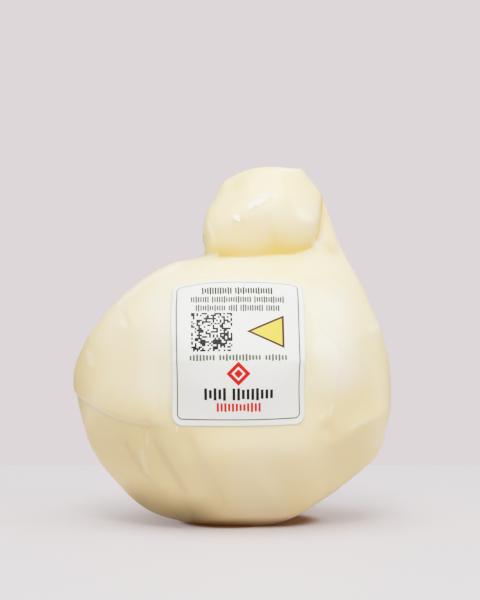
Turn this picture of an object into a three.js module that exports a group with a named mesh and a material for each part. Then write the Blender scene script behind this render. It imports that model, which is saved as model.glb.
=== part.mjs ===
// A provola: a stretched-curd cheese with a round belly, a shoulder that rises to one side and
// a small folded head, drawn tight in clear film, with a paper label on its front.
// Millimetres, +Z up. The front, with the label, faces -Y, and the head leans towards +X.
import * as THREE from "three";

// Driving sizes of the lumps of curd: the middle of each and how far it reaches
const BELLY = { at: [-0.2, 0.55, 56], side: 67.56, depth: 62.05, up: 55.8, down: 86 };
const CHEST = { at: [2.44, -15, 74], side: 54, depth: 50, up: 39, down: 40 };
const SHOULDER = { at: [22.44, 10, 66], side: 42.2, depth: 40, up: 60, down: 50 };
const HEAD = { at: [10.94, -2, 129], side: 30, depth: 23, up: 32, down: 14 };
const LEFT_LOBE = { at: [1.8, -8.4, 120], side: 17, depth: 17, up: 17, down: 13 };
const RIGHT_LOBE = { at: [23.6, -5.8, 126.6], side: 11.8, depth: 16, up: 16, down: 16.5 };
const WEB = { at: [22.44, 8, 118], side: 26, depth: 15, up: 27, down: 24 };

// Flats pressed into each lump by the tight film. Bearing is degrees round from the front
// towards +X, rise is degrees above level, reach is the distance from the lump's middle,
// and soft is the width over which the edge of the flat is rounded. A flat acts on the
// rays whose share along its bearing and rise is over FACING.
const FACING = 0.2;
BELLY.flats = [
  { bearing: 90, rise: -50, reach: 62.6, soft: 4 },
  { bearing: 90, rise: -60, reach: 60.4, soft: 4 },
  { bearing: 90, rise: -69, reach: 58.8, soft: 4 },
  { bearing: 270, rise: -19, reach: 64.6, soft: 4 },
  { bearing: 270, rise: -43, reach: 62, soft: 5 },
  { bearing: 270, rise: -63, reach: 61.8, soft: 4 },
  { bearing: 270, rise: -72, reach: 59.8, soft: 4 },
  { bearing: 270, rise: 50, reach: 62.2, soft: 8 },
  { bearing: 0, rise: -5, reach: 60.6, soft: 5 },
  { bearing: 52, rise: -32, reach: 62, soft: 7 },
  { bearing: 48, rise: 6, reach: 64.2, soft: 8 },
  { bearing: 318, rise: -30, reach: 62.4, soft: 7 },
  { bearing: 8, rise: -44, reach: 58.2, soft: 4 },
  { bearing: 337, rise: -68, reach: 61.4, soft: 4 },
  { bearing: 128, rise: -24, reach: 63, soft: 7 },
  { bearing: 150, rise: 20, reach: 62, soft: 8 },
  { bearing: 196, rise: -12, reach: 60.6, soft: 8 },
  { bearing: 180, rise: -50, reach: 60, soft: 7 },
  { bearing: 180, rise: -68, reach: 59, soft: 5 },
  { bearing: 212, rise: 30, reach: 60.2, soft: 9 },
  { bearing: 236, rise: -28, reach: 63.4, soft: 7 },
];
CHEST.flats = [
  { bearing: 3, rise: 21, reach: 41.7, soft: 1.5 },
  { bearing: 0, rise: -3, reach: 46.1, soft: 1.5 },
  { bearing: 0, rise: 72, reach: 37.4, soft: 8 },
];
SHOULDER.flats = [{ bearing: 90, rise: 24, reach: 51.6, soft: 12 }];
HEAD.flats = [
  { bearing: 90, rise: 90, reach: 21.8, soft: 0.8 },
  { bearing: 270, rise: 65, reach: 20.9, soft: 3 },
  { bearing: 270, rise: 31, reach: 22.6, soft: 4 },
  { bearing: 270, rise: 14, reach: 20, soft: 3 },
  { bearing: 90, rise: 38, reach: 28.4, soft: 1 },
  { bearing: 90, rise: -16, reach: 24.2, soft: 3 },
  { bearing: 350, rise: 34, reach: 22, soft: 5 },
  { bearing: 50, rise: 30, reach: 25.6, soft: 5 },
  { bearing: 180, rise: 30, reach: 21, soft: 8 },
  { bearing: 225, rise: 25, reach: 22.4, soft: 6 },
  { bearing: 315, rise: 20, reach: 23, soft: 6 },
];
LEFT_LOBE.flats = [{ bearing: 270, rise: 2, reach: 13.4, soft: 3 }];
RIGHT_LOBE.flats = [];
WEB.flats = [{ bearing: 90, rise: 19, reach: 22.6, soft: 3 }];

// Width over which two lumps run into each other
const CHEST_BLEND = 8;
const SHOULDER_BLEND = 10;
const CLEFT_BLEND = 15;
const LOBE_BLEND = 6;
const WEB_BLEND = 5;
const NECK_CREASE = 4;

// Folds in the film and curd, as lines seen from the front or the back, [x, z] in turn.
// A fold stands out by height, or sinks in where height is below zero, and fades over width.
const FOLDS = [
  { face: -1, line: [[-45, 37], [-41, 26.5], [-32, 15], [-22, 5]], height: -1.1, width: 2.6 },
  { face: -1, line: [[-34, 42], [-28.5, 28], [-20, 12], [-16, 4]], height: -1.1, width: 2.8 },
  { face: -1, line: [[-18.6, 38], [-13.4, 26], [-6, 9]], height: -0.9, width: 3.2 },
  { face: -1, line: [[44, 38], [52.5, 43], [64, 48]], height: 1.1, width: 4 },
  { face: -1, line: [[-55, 90], [-38.5, 103], [-25, 110]], height: 0.9, width: 4 },
  { face: -1, line: [[-43.5, 85.5], [-50, 83], [-60.5, 71], [-66, 64]], height: 0.8, width: 4 },
  { face: 1, line: [[-40, 42], [-35, 26], [-25, 8]], height: -1.1, width: 3.6 },
  { face: 1, line: [[28, 40], [21, 22], [12, 4]], height: -1.3, width: 4.5 },
  { face: 1, line: [[-6, 40], [-10, 22], [-9, 4]], height: -1.2, width: 4.5 },
  { face: 1, line: [[46, 66], [36, 80], [26, 98]], height: 0.9, width: 5 },
  { face: 1, line: [[64, 48], [54, 50], [40, 46]], height: 1, width: 4 },
  { face: 1, line: [[24, 121], [19, 131], [20, 141]], height: -0.6, width: 3 },
];

// Folds of curd on the left flank: each overlaps the belly below its line and fades above it
const FLAP = { height: 1.2, edge: 1.2, fade: 14, end: 6 };
const FLAPS = [
  { face: -1, line: [[-67, 55.6], [-60.5, 52.5], [-51.3, 48.4], [-40.4, 45.3], [-33.1, 44.3]] },
  { face: 1, line: [[-67, 55.6], [-58, 57], [-44, 54], [-26, 50], [-8, 51], [8, 55]] },
];

// A fold fades over this depth on either side of the line between front and back
const FOLD_TURN = 5;
// Straight steps between two points of a fold's line
const FOLD_STEPS = 12;

// The label: a paper sheet with rounded corners, laid on the skin about a point of the front
const LABEL = { x: 2.4, z: 75.5, width: 53.5, height: 63.4, corner: 4, paper: 0.5, gap: 0.3 };
LABEL.columns = 20;
LABEL.rows = 22;

// The rays that find the skin start inside the cheese and sweep from the seat to the crown
const BELLY_EYE = new THREE.Vector3(-0.36, 0.5, 56);
const NECK_EYE = new THREE.Vector3(9.44, 2, 110.5);
const HEAD_EYE = new THREE.Vector3(10.94, -2, 127);
const STATIONS = [
  { row: 0, eye: BELLY_EYE, rise: -90 },
  { row: 27, eye: BELLY_EYE, rise: 26 },
  { row: 39, eye: NECK_EYE, rise: 3 },
  { row: 46, eye: HEAD_EYE, rise: -12 },
  { row: 57, eye: HEAD_EYE, rise: 90 },
];
const COLUMNS = 84;
const ROWS = STATIONS.at(-1).row;

// Steps of the search for the skin: the stride of a ray, the times that its last stride is
// halved, the height under which a point counts as on the seat, the step for a slope, the
// corrections that bring a point onto the skin and the stride of a walk over it
const RAY_STRIDE = 2;
const HALVINGS = 24;
const SEAT_SNAP = 1e-4;
const SLOPE_STEP = 0.4;
const CORRECTIONS = 4;
const WALK_STRIDE = 2;

/** Unit vector at a bearing round from the front and a rise above level, both in degrees. */
function heading(bearing, rise) {
  const round = THREE.MathUtils.degToRad(bearing);
  const up = THREE.MathUtils.degToRad(rise);
  return new THREE.Vector3(
    Math.sin(round) * Math.cos(up),
    -Math.cos(round) * Math.cos(up),
    Math.sin(up),
  );
}

/** The lesser of two lengths, with the corner between them rounded over a width. */
function roundMin(a, b, width) {
  const overlap = Math.max(width - Math.abs(a - b), 0) / width;
  return Math.min(a, b) - overlap * overlap * width / 4;
}

for (const lump of [BELLY, CHEST, SHOULDER, HEAD, LEFT_LOBE, RIGHT_LOBE, WEB]) {
  lump.middle = new THREE.Vector3(...lump.at);
  for (const flat of lump.flats) {
    flat.normal = heading(flat.bearing, flat.rise);
  }
}

/** Distance of a point from the skin of one lump, below zero inside it. */
function lumpDistance(lump, point) {
  const ray = point.clone().sub(lump.middle);
  const away = ray.length();
  if (away < 1e-9) {
    return -lump.up;
  }
  ray.divideScalar(away);
  const rising = ray.z > 0 ? lump.up : lump.down;
  let reach = 1 / Math.hypot(ray.x / lump.side, ray.y / lump.depth, ray.z / rising);
  for (const flat of lump.flats) {
    const facing = ray.dot(flat.normal);
    if (facing > FACING) {
      reach = roundMin(reach, flat.reach / facing, flat.soft);
    }
  }
  return away - reach;
}

/** Smooth curve through the points of a line on the front or the back. */
function foldCurve(line) {
  return new THREE.SplineCurve(line.map(([x, z]) => new THREE.Vector2(x, z))).getPoints(FOLD_STEPS);
}

for (const fold of [...FOLDS, ...FLAPS]) {
  fold.curve = foldCurve(fold.line);
}

/** Where a spot [x, z] lies beside a curve: its distance, its side and how far it is past an end. */
function besideCurve(curve, spot) {
  let best = { distance: Infinity, side: 1, past: 0 };
  for (let i = 0; i + 1 < curve.length; i += 1) {
    const along = curve[i + 1].clone().sub(curve[i]);
    const from = spot.clone().sub(curve[i]);
    const share = from.dot(along) / along.lengthSq();
    const held = THREE.MathUtils.clamp(share, 0, 1);
    const distance = from.distanceTo(along.clone().multiplyScalar(held));
    if (distance < best.distance) {
      const ended = (i === 0 && share < 0) || (i + 2 === curve.length && share > 1);
      const past = ended ? Math.abs(share - held) * along.length() : 0;
      best = { distance, side: Math.sign(along.cross(from)) || 1, past };
    }
  }
  return best;
}

/** Share of a fold that shows at a point: all of it on its own face, none on the other. */
function onFace(fold, point) {
  return THREE.MathUtils.smoothstep(point.y * fold.face, -FOLD_TURN, FOLD_TURN);
}

/** How far the folds and flaps lift the skin at a point. */
function relief(point) {
  const spot = new THREE.Vector2(point.x, point.z);
  let lift = 0;
  for (const fold of FOLDS) {
    const { distance } = besideCurve(fold.curve, spot);
    lift += fold.height * onFace(fold, point) * Math.exp(-((distance / fold.width) ** 2));
  }
  for (const flap of FLAPS) {
    const { distance, side, past } = besideCurve(flap.curve, spot);
    const above = distance * side;
    const step = THREE.MathUtils.smoothstep(above, -FLAP.edge, FLAP.edge);
    const faded = Math.exp(-Math.max(above, 0) / FLAP.fade) * Math.exp(-((past / FLAP.end) ** 2));
    lift += FLAP.height * step * faded * onFace(flap, point);
  }
  return lift;
}

/** Distance of a point from the skin of the whole cheese, below zero inside it. */
function skinDistance(point) {
  const front = roundMin(lumpDistance(BELLY, point), lumpDistance(CHEST, point), CHEST_BLEND);
  const body = roundMin(front, lumpDistance(SHOULDER, point), SHOULDER_BLEND);
  const trunk = roundMin(body, lumpDistance(WEB, point), WEB_BLEND);
  const left = lumpDistance(LEFT_LOBE, point);
  const lobes = roundMin(left, lumpDistance(RIGHT_LOBE, point), CLEFT_BLEND);
  const crown = roundMin(lumpDistance(HEAD, point), lobes, LOBE_BLEND);
  return roundMin(trunk, crown, NECK_CREASE) - relief(point);
}

/** Point where a ray from inside the cheese leaves its skin or its flat seat at z = 0. */
function castOut(eye, way) {
  const outside = (run) => {
    const point = eye.clone().addScaledVector(way, run);
    return Math.max(skinDistance(point), -point.z);
  };
  let inner = 0;
  let outer = RAY_STRIDE;
  while (outside(outer) < 0) {
    inner = outer;
    outer += RAY_STRIDE;
  }
  for (let i = 0; i < HALVINGS; i += 1) {
    const middle = (inner + outer) / 2;
    if (outside(middle) < 0) {
      inner = middle;
    } else {
      outer = middle;
    }
  }
  const hit = eye.clone().addScaledVector(way, (inner + outer) / 2);
  if (hit.z < SEAT_SNAP) {
    hit.z = 0;
  }
  return hit;
}

/** The eye and the rise of the rays of one row, between the stations on either side of it. */
function rowSweep(row) {
  const last = Math.max(STATIONS.findIndex((station) => station.row >= row), 1);
  const [from, to] = [STATIONS[last - 1], STATIONS[last]];
  const share = (row - from.row) / (to.row - from.row);
  return {
    eye: from.eye.clone().lerp(to.eye, share),
    rise: THREE.MathUtils.lerp(from.rise, to.rise, share),
  };
}

/** The cheese: a ball of rows and columns, each corner moved out along its ray to the skin. */
function cheeseGeometry() {
  const ball = new THREE.SphereGeometry(1, COLUMNS, ROWS);
  const corners = ball.attributes.position;
  const shares = ball.attributes.uv;
  for (let i = 0; i < corners.count; i += 1) {
    const { eye, rise } = rowSweep(Math.round(shares.getY(i) * ROWS));
    const turns = Math.abs(rise) === 90 ? 0 : shares.getX(i) % 1;
    const hit = castOut(eye, heading(360 * turns - 90, rise));
    corners.setXYZ(i, hit.x, hit.y, hit.z);
  }
  return ball;
}

/** Outward normal of the skin at a point, from the slope of its distance. */
function skinNormal(point) {
  const slope = new THREE.Vector3();
  for (const axis of ["x", "y", "z"]) {
    const ahead = point.clone();
    const behind = point.clone();
    ahead[axis] += SLOPE_STEP;
    behind[axis] -= SLOPE_STEP;
    slope[axis] = skinDistance(ahead) - skinDistance(behind);
  }
  return slope.normalize();
}

/** Nearest point of the skin to a point close by. */
function ontoSkin(point) {
  const held = point.clone();
  for (let i = 0; i < CORRECTIONS; i += 1) {
    held.addScaledVector(skinNormal(held), -skinDistance(held));
  }
  return held;
}

/** Walks a length over the skin, straight ahead, and gives the spot and the way it then faces. */
function walk(start, way, length) {
  const steps = Math.max(Math.ceil(Math.abs(length) / WALK_STRIDE), 1);
  let spot = start.clone();
  let ahead = way.clone();
  for (let i = 0; i < steps; i += 1) {
    spot = ontoSkin(spot.addScaledVector(ahead, length / steps));
    const normal = skinNormal(spot);
    ahead.addScaledVector(normal, -ahead.dot(normal)).normalize();
  }
  return { spot, ahead };
}

/** Rounds the corners of a rectangle by drawing its corner squares in to quarter circles. */
function roundCorner(across, up) {
  const inX = Math.abs(across) - (LABEL.width / 2 - LABEL.corner);
  const inY = Math.abs(up) - (LABEL.height / 2 - LABEL.corner);
  if (inX <= 0 || inY <= 0) {
    return [across, up];
  }
  const drawn = Math.max(inX, inY) / Math.hypot(inX, inY) - 1;
  return [across + Math.sign(across) * inX * drawn, up + Math.sign(up) * inY * drawn];
}

/** The label: a thin box bent over the skin, up its middle line and then out to each side. */
function labelGeometry() {
  const sheet = new THREE.BoxGeometry(
    LABEL.width, LABEL.height, LABEL.paper, LABEL.columns, LABEL.rows, 1,
  );
  const corners = sheet.attributes.position;
  const start = castOut(new THREE.Vector3(LABEL.x, 0, LABEL.z), heading(0, 0));
  const facing = skinNormal(start);
  const upward = new THREE.Vector3(0, 0, 1).addScaledVector(facing, -facing.z).normalize();
  for (let i = 0; i < corners.count; i += 1) {
    const [across, up] = roundCorner(corners.getX(i), corners.getY(i));
    const climbed = walk(start, upward, up);
    const sideways = climbed.ahead.clone().cross(skinNormal(climbed.spot));
    const { spot } = walk(climbed.spot, sideways, across);
    const lift = LABEL.gap + corners.getZ(i) + LABEL.paper / 2;
    spot.addScaledVector(skinNormal(spot), lift);
    corners.setXYZ(i, spot.x, spot.y, spot.z);
  }
  return sheet;
}

const curd = new THREE.MeshStandardMaterial({ color: "#f1e6c4", roughness: 0.32, metalness: 0 });
const paper = new THREE.MeshStandardMaterial({ color: "#f3f3ef", roughness: 0.45, metalness: 0 });

const provola = new THREE.Mesh(cheeseGeometry(), curd);
provola.name = "provola";
const label = new THREE.Mesh(labelGeometry(), paper);
label.name = "label";

const cheese = new THREE.Group();
cheese.name = "film_packed_provola";
cheese.add(provola, label);

// The origin is moved to the middle of the bottom of the whole cheese
const middle = new THREE.Box3().setFromObject(cheese).getCenter(new THREE.Vector3());
cheese.position.set(-middle.x, -middle.y, 0);

export default cheese;
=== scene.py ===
"""Looks of a film-packed provola: the curd, the clear film drawn tight over it, and a paper label."""

import logging
import math
from dataclasses import dataclass
from enum import Enum

import bpy
import numpy as np
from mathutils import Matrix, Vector, noise
from mathutils.bvhtree import BVHTree


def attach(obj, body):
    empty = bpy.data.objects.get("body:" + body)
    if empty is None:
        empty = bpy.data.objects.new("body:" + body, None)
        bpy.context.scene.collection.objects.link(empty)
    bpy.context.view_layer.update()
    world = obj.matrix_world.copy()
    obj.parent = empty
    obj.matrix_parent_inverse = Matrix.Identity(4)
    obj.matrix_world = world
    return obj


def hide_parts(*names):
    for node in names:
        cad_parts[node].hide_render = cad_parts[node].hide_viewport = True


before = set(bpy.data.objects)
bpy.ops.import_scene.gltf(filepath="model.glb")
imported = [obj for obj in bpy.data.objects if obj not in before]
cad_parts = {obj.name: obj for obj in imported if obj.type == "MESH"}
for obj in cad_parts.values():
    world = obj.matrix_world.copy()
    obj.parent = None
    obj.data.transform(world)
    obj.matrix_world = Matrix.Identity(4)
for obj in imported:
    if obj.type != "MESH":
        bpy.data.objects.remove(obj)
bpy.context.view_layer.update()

LOG = logging.getLogger("provola")
MM = 0.001  # shapes are worked out in millimetres, meshes are in metres
TINY = 1e-6  # keeps a division from meeting zero


# Shape of the skin, by the rule and values of the solid, with more small folds

def heading(bearing: float, rise: float) -> np.ndarray:
    """Direction of a ray.

    Args:
        bearing: degrees from the front towards +X.
        rise: degrees above the level.

    Returns:
        A unit vector.
    """
    turn, lift = math.radians(bearing), math.radians(rise)
    return np.array([math.sin(turn) * math.cos(lift), -math.cos(turn) * math.cos(lift), math.sin(lift)])


def round_min(first: np.ndarray, second: np.ndarray, width: float) -> np.ndarray:
    """Smaller of two distances, with the corner between them rounded.

    Args:
        first: distances to one body.
        second: distances to the other body.
        width: how wide the rounding is.

    Returns:
        The joined distances.
    """
    overlap = np.maximum(width - np.abs(first - second), 0.0) / width
    return np.minimum(first, second) - overlap ** 2 * width / 4


def smooth_step(value: np.ndarray, low: float, high: float) -> np.ndarray:
    """Eased rise from 0 at low to 1 at high.

    Args:
        value: what is compared.
        low: where the rise starts.
        high: where the rise ends.

    Returns:
        Shares between 0 and 1.
    """
    share = np.clip((value - low) / (high - low), 0.0, 1.0)
    return share * share * (3 - 2 * share)


@dataclass(frozen=True)
class Flat:
    """A soft flat that the tight film presses into a lump: its direction in degrees, reach and softness."""

    bearing: float
    rise: float
    reach: float
    soft: float


@dataclass(frozen=True)
class Lump:
    """A ball of curd with its own reach to the side, in depth, up and down."""

    at: tuple[float, float, float]
    side: float
    depth: float
    up: float
    down: float
    flats: tuple[Flat, ...] = ()

    FACING_LEAST = 0.2  # a flat only presses rays that lean towards it by more than this

    def distance(self, points: np.ndarray) -> np.ndarray:
        """How far points lie outside the lump.

        Args:
            points: rows of x, y, z.

        Returns:
            One distance a row, below zero inside.
        """
        ray = points - np.array(self.at)
        away = np.linalg.norm(ray, axis=1)
        ray = ray / np.maximum(away, TINY)[:, None]
        tall = np.where(ray[:, 2] > 0, self.up, self.down)
        squares = (ray[:, 0] / self.side) ** 2 + (ray[:, 1] / self.depth) ** 2 + (ray[:, 2] / tall) ** 2
        reach = 1 / np.sqrt(squares)
        for flat in self.flats:
            facing = np.maximum(ray @ heading(flat.bearing, flat.rise), self.FACING_LEAST)
            reach = round_min(reach, flat.reach / facing, flat.soft)
        return away - reach


class Face(Enum):
    """The half of the skin that a mark lies on, as the sign of its y."""

    FRONT = -1.0
    BACK = 1.0


@dataclass(frozen=True)
class Fold:
    """A line across the skin, as x and z, that stands out of it or, with a height below zero, sinks in."""

    face: Face
    line: tuple[tuple[float, float], ...]
    height: float
    width: float

    STEPS = 8  # straight pieces between two points of the line
    TURN = 5.0  # a mark fades over this much y on either side of the line between front and back
    SPREAD = 3.0  # widths away from the line where it no longer counts

    def path(self) -> np.ndarray:
        """The line as a smooth curve through its points.

        Returns:
            Rows of x and z.
        """
        knots = np.array(self.line)
        ends = np.vstack([2 * knots[0] - knots[1], knots, 2 * knots[-1] - knots[-2]])
        shares = np.linspace(0, 1, self.STEPS, endpoint=False)[:, None]
        runs = []
        for before, start, stop, after in zip(ends, ends[1:], ends[2:], ends[3:]):
            bend = 2 * before - 5 * start + 4 * stop - after
            twist = 3 * (start - stop) + after - before
            runs.append(start + shares * (stop - before + shares * (bend + shares * twist)) / 2)
        return np.vstack([*runs, knots[-1:]])

    def beside(self, points: np.ndarray) -> tuple[np.ndarray, np.ndarray, np.ndarray]:
        """Where points lie beside the line.

        Args:
            points: rows of x, y, z.

        Returns:
            The distance from the line, the height over it square to its run, and how far past its ends.
        """
        path = self.path()
        flat = points[:, [0, 2]]
        nearest = np.full(len(points), np.inf)
        above = np.zeros(len(points))
        past = np.zeros(len(points))
        for start, stop in zip(path, path[1:]):
            run = stop - start
            length = np.linalg.norm(run)
            along = (flat - start) @ run / length
            held = np.clip(along, 0, length)
            gap = np.linalg.norm(flat - start - held[:, None] * run / length, axis=1)
            closer = gap < nearest
            nearest = np.where(closer, gap, nearest)
            side = (run[0] * (flat[:, 1] - start[1]) - run[1] * (flat[:, 0] - start[0])) / length
            above = np.where(closer, side, above)
            past = np.where(closer, np.abs(along - held), past)
        return nearest, above, past

    def lift(self, points: np.ndarray) -> np.ndarray:
        """How far the mark moves the skin at points.

        Args:
            points: rows of x, y, z on the skin.

        Returns:
            One height a row.
        """
        knots = np.array(self.line)
        reach = self.SPREAD * self.width
        spots = points[:, [0, 2]]
        near = np.all((spots > knots.min(axis=0) - reach) & (spots < knots.max(axis=0) + reach), axis=1)
        raised = np.zeros(len(points))
        if near.any():
            distance = self.beside(points[near])[0]
            raised[near] = self.height * self.on_face(points[near]) * np.exp(-((distance / self.width) ** 2))
        return raised

    def on_face(self, points: np.ndarray) -> np.ndarray:
        """Share of the mark that shows at points: all of it on its own face, none on the other."""
        return smooth_step(points[:, 1] * self.face.value, -self.TURN, self.TURN)


@dataclass(frozen=True)
class Flap(Fold):
    """A step in the skin along a line, high at the line's upper side and fading away above it."""

    fade: float = 14.0

    END_EASE = 6.0  # the step fades over this much past the ends of its line

    def lift(self, points: np.ndarray) -> np.ndarray:
        """How far the step moves the skin at points.

        Args:
            points: rows of x, y, z on the skin.

        Returns:
            One height a row.
        """
        _, above, past = self.beside(points)
        step = smooth_step(above, -self.width, self.width) * np.exp(-np.maximum(above, 0) / self.fade)
        ends = np.exp(-((past / self.END_EASE) ** 2))
        return self.height * step * ends * self.on_face(points)


@dataclass(frozen=True)
class Station:
    """End of a fan of rays: where they start, how far they rise and how many rows lead up to it."""

    eye: tuple[float, float, float]
    rise: float
    rows: int


@dataclass(frozen=True)
class Skin:
    """The whole skin of the cheese: lumps run together, with folds on it."""

    belly: Lump
    chest: Lump
    shoulder: Lump
    head: Lump
    left_lobe: Lump
    right_lobe: Lump
    web: Lump
    folds: tuple[Fold, ...]
    chest_blend: float = 8.0
    shoulder_blend: float = 10.0
    cleft: float = 15.0
    lobe_blend: float = 6.0
    web_blend: float = 5.0
    neck_crease: float = 4.0
    swell: float = 0.3
    swell_size: float = 19.0
    swell_seed: tuple[float, float, float] = (3.7, 8.1, 5.3)

    MARCH_STEPS = 44  # strides that a ray takes to the skin
    MARCH_SHARE = 0.7  # part of the distance left that each stride covers
    SLOPE_STEP = 0.4  # how far aside the distance is read for a normal
    CLEFT_SHARE = 0.6  # how much the crease between the lobes counts beside the neck's

    def trunk(self, points: np.ndarray) -> np.ndarray:
        """Distance from the body under the neck, with the web that runs up behind the head.

        Args:
            points: rows of x, y, z.

        Returns:
            One distance a row, below zero inside.
        """
        front = round_min(self.belly.distance(points), self.chest.distance(points), self.chest_blend)
        body = round_min(front, self.shoulder.distance(points), self.shoulder_blend)
        return round_min(body, self.web.distance(points), self.web_blend)

    def crown(self, points: np.ndarray) -> np.ndarray:
        """Distance from the head with its lobes."""
        lobes = round_min(self.left_lobe.distance(points), self.right_lobe.distance(points), self.cleft)
        return round_min(self.head.distance(points), lobes, self.lobe_blend)

    def distance(self, points: np.ndarray) -> np.ndarray:
        """Distance from the skin without its folds."""
        return round_min(self.trunk(points), self.crown(points), self.neck_crease)

    def normals(self, points: np.ndarray) -> np.ndarray:
        """Outward directions of the skin.

        Args:
            points: rows of x, y, z near the skin.

        Returns:
            A unit vector a row.
        """
        slope = np.empty_like(points)
        for axis in range(3):
            aside = np.zeros(3)
            aside[axis] = self.SLOPE_STEP
            slope[:, axis] = self.distance(points + aside) - self.distance(points - aside)
        return slope / np.linalg.norm(slope, axis=1)[:, None]

    def cast(self, eyes: np.ndarray, ways: np.ndarray) -> np.ndarray:
        """Where rays from inside meet the skin without its folds.

        Args:
            eyes: start of each ray.
            ways: direction of each ray.

        Returns:
            A point a row.
        """
        gone = np.zeros(len(eyes))
        for _ in range(self.MARCH_STEPS):
            gone -= self.MARCH_SHARE * self.distance(eyes + ways * gone[:, None])
        return eyes + ways * gone[:, None]

    def relief(self, points: np.ndarray) -> np.ndarray:
        """Height of the folds and of the slow swell of hand-worked curd.

        Args:
            points: rows of x, y, z on the skin.

        Returns:
            One height a row.
        """
        seed = Vector(self.swell_seed)
        waves = [noise.noise(Vector(point) / self.swell_size + seed) for point in points]
        return self.swell * np.array(waves) + sum(fold.lift(points) for fold in self.folds)

    def crease(self, points: np.ndarray, reach: float) -> np.ndarray:
        """How deep points sit in the crease of the neck or between the lobes.

        Args:
            points: rows of x, y, z on the skin.
            reach: distance over which a crease fades.

        Returns:
            Shares between 0 and 1.
        """
        neck = np.maximum(self.trunk(points), self.crown(points))
        cleft = np.maximum(self.left_lobe.distance(points), self.right_lobe.distance(points))
        shown = np.exp(-np.maximum(neck, 0) / reach)
        return np.clip(shown + self.CLEFT_SHARE * np.exp(-np.maximum(cleft, 0) / reach), 0, 1)


SKIN = Skin(
    belly=Lump(at=(-0.2, 0.55, 56), side=67.56, depth=62.05, up=55.8, down=86, flats=(
        Flat(90, -50, 62.6, 4), Flat(90, -60, 60.4, 4), Flat(90, -69, 58.8, 4), Flat(270, -19, 64.6, 4),
        Flat(270, -43, 62, 5), Flat(270, -63, 61.8, 4), Flat(270, -72, 59.8, 4), Flat(270, 50, 62.2, 8),
        Flat(0, -5, 60.6, 5), Flat(52, -32, 62, 7), Flat(48, 6, 64.2, 8), Flat(318, -30, 62.4, 7),
        Flat(8, -44, 58.2, 4), Flat(337, -68, 61.4, 4), Flat(128, -24, 63, 7), Flat(150, 20, 62, 8),
        Flat(196, -12, 60.6, 8), Flat(180, -50, 60, 7), Flat(180, -68, 59, 5), Flat(212, 30, 60.2, 9),
        Flat(236, -28, 63.4, 7))),
    chest=Lump(at=(2.44, -15, 74), side=54, depth=50, up=39, down=40, flats=(
        Flat(3, 21, 41.7, 1.5), Flat(0, -3, 46.1, 1.5), Flat(0, 72, 37.4, 8))),
    shoulder=Lump(at=(22.44, 10, 66), side=42.2, depth=40, up=60, down=50, flats=(Flat(90, 24, 51.6, 12),)),
    head=Lump(at=(10.94, -2, 129), side=30, depth=23, up=32, down=14, flats=(
        Flat(90, 90, 21.8, 0.8), Flat(270, 65, 20.9, 3), Flat(270, 31, 22.6, 4), Flat(270, 14, 20, 3),
        Flat(90, 38, 28.4, 1), Flat(90, -16, 24.2, 3), Flat(350, 34, 22, 5), Flat(50, 30, 25.6, 5),
        Flat(180, 30, 21, 8), Flat(225, 25, 22.4, 6), Flat(315, 20, 23, 6))),
    left_lobe=Lump(at=(1.8, -8.4, 120), side=17, depth=17, up=17, down=13, flats=(
        Flat(270, 2, 13.4, 3),)),
    right_lobe=Lump(at=(23.6, -5.8, 126.6), side=11.8, depth=16, up=16, down=16.5),
    web=Lump(at=(22.44, 8, 118), side=26, depth=15, up=27, down=24, flats=(Flat(90, 19, 22.6, 3),)),
    folds=(
        Fold(Face.FRONT, ((-45, 37), (-41, 26.5), (-32, 15), (-22, 5)), -1.1, 2.6),
        Fold(Face.FRONT, ((-34, 42), (-28.5, 28), (-20, 12), (-16, 4)), -1.1, 2.8),
        Fold(Face.FRONT, ((-18.6, 38), (-13.4, 26), (-6, 9)), -0.9, 3.2),
        Fold(Face.FRONT, ((44, 38), (52.5, 43), (64, 48)), 1.1, 4),
        Fold(Face.FRONT, ((-55, 90), (-38.5, 103), (-25, 110)), 0.9, 4),
        Fold(Face.FRONT, ((-43.5, 85.5), (-50, 83), (-60.5, 71), (-66, 64)), 0.8, 4),
        Fold(Face.FRONT, ((-43.6, 87), (-43.2, 85.4)), -0.5, 1.6),
        Fold(Face.FRONT, ((-30.3, 67.5), (-30, 49.5), (-34.2, 44.1), (-34.6, 30.5)), -0.35, 1.6),
        Fold(Face.FRONT, ((35.1, 80.2), (40.8, 75.3), (42.1, 69.3), (40.2, 51.9), (36, 46)), 0.4, 1.8),
        Fold(Face.FRONT, ((38.6, 41.4), (39.6, 40.2)), -0.8, 3),
        Fold(Face.FRONT, ((52.3, 78.6), (57.3, 80), (63.7, 83)), 0.5, 2),
        Fold(Face.FRONT, ((7.9, 26.2), (17.4, 11.6)), 0.5, 3),
        Fold(Face.FRONT, ((1.5, 128.6), (7.4, 133), (13.4, 137)), 0.45, 2.4),
        Fold(Face.FRONT, ((13.1, 127.3), (15, 122.5), (16.8, 117.5)), -0.5, 2.6),
        Fold(Face.FRONT, ((-9.5, 123.5), (-7.9, 115.3)), 0.5, 1.2),
        Fold(Face.BACK, ((-40, 42), (-35, 26), (-25, 8)), -1.1, 3.6),
        Fold(Face.BACK, ((28, 40), (21, 22), (12, 4)), -1.3, 4.5),
        Fold(Face.BACK, ((-6, 40), (-10, 22), (-9, 4)), -1.2, 4.5),
        Fold(Face.BACK, ((46, 66), (36, 80), (26, 98)), 0.9, 5),
        Fold(Face.BACK, ((64, 48), (54, 50), (40, 46)), 1, 4),
        Fold(Face.BACK, ((-1, 124), (6, 134), (15, 140)), 0.5, 2.4),
        Fold(Face.BACK, ((24, 121), (19, 131), (20, 141)), -0.6, 3),
        Flap(Face.FRONT, ((-67, 55.6), (-60.5, 52.5), (-51.3, 48.4), (-40.4, 45.3), (-33.1, 44.3)), 1.2, 1.2),
        Flap(Face.BACK, ((-67, 55.6), (-58, 57), (-44, 54), (-26, 50), (-8, 51), (8, 55)), 1.2, 1.2),
    ),
)


# Nodes written as Python

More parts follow.
